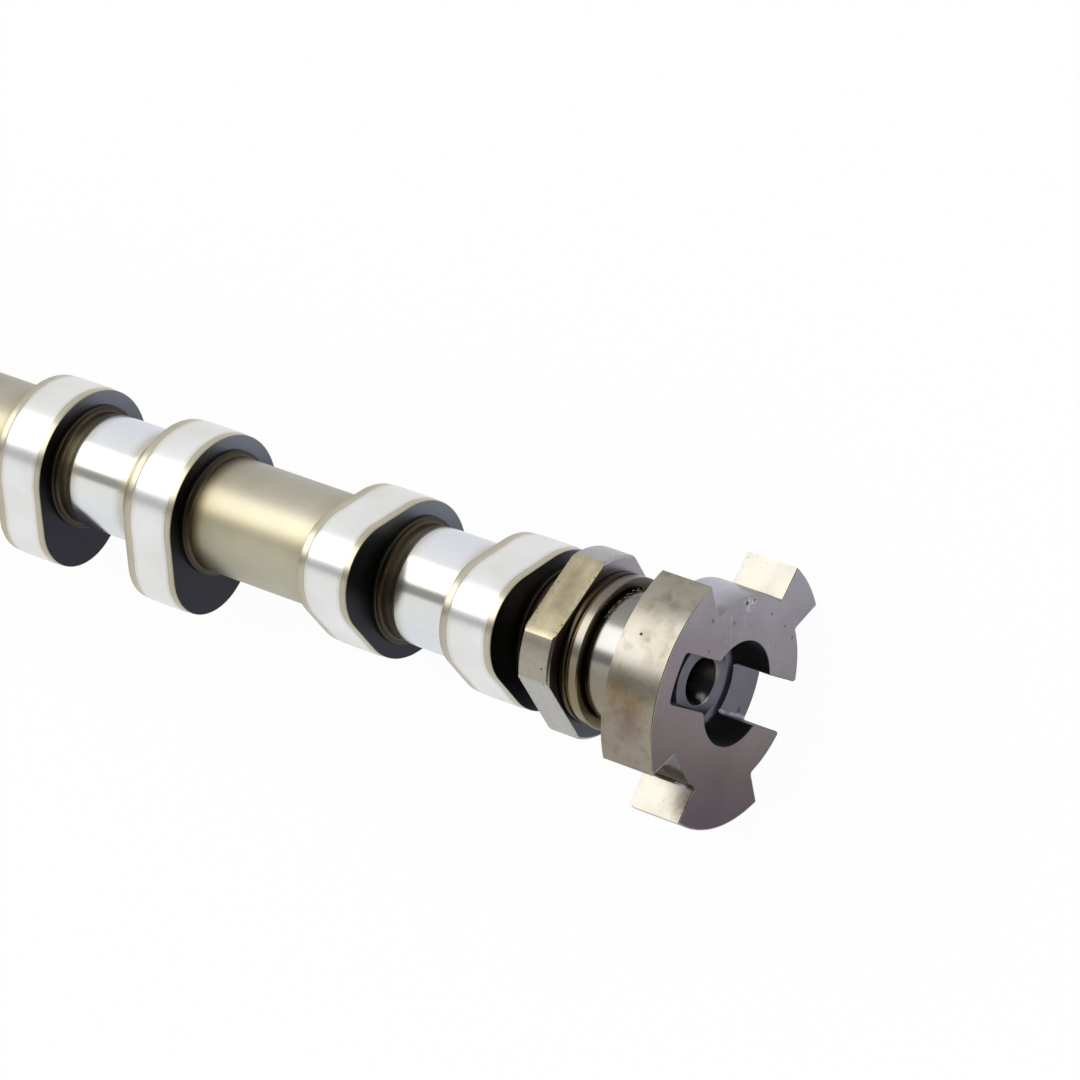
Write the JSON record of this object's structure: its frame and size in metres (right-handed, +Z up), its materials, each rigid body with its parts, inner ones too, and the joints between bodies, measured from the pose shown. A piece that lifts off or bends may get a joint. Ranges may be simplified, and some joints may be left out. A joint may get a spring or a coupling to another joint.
{
  "type": "camshaft",
  "caption": "One-piece camshaft with paired lobes, bearing journals, a timing square and a toothed trigger wheel slotted to drive a pump.",
  "frame": {"origin": "on the shaft's axis, where the front bearing journal meets the thrust flange", "axes": "+X along the shaft's axis towards the trigger wheel, -X towards the nose that carries the sprocket, +Z up as the shaft lies, drive slot open downwards"},
  "size_m": [0.3912, 0.0524, 0.0481],
  "materials": {
    "chilled_iron": "ground and turned bright on the running surfaces, satin between them"
  },
  "bodies": {
    "root": {"camshaft": "chilled_iron"}
  },
  "joints": []
}
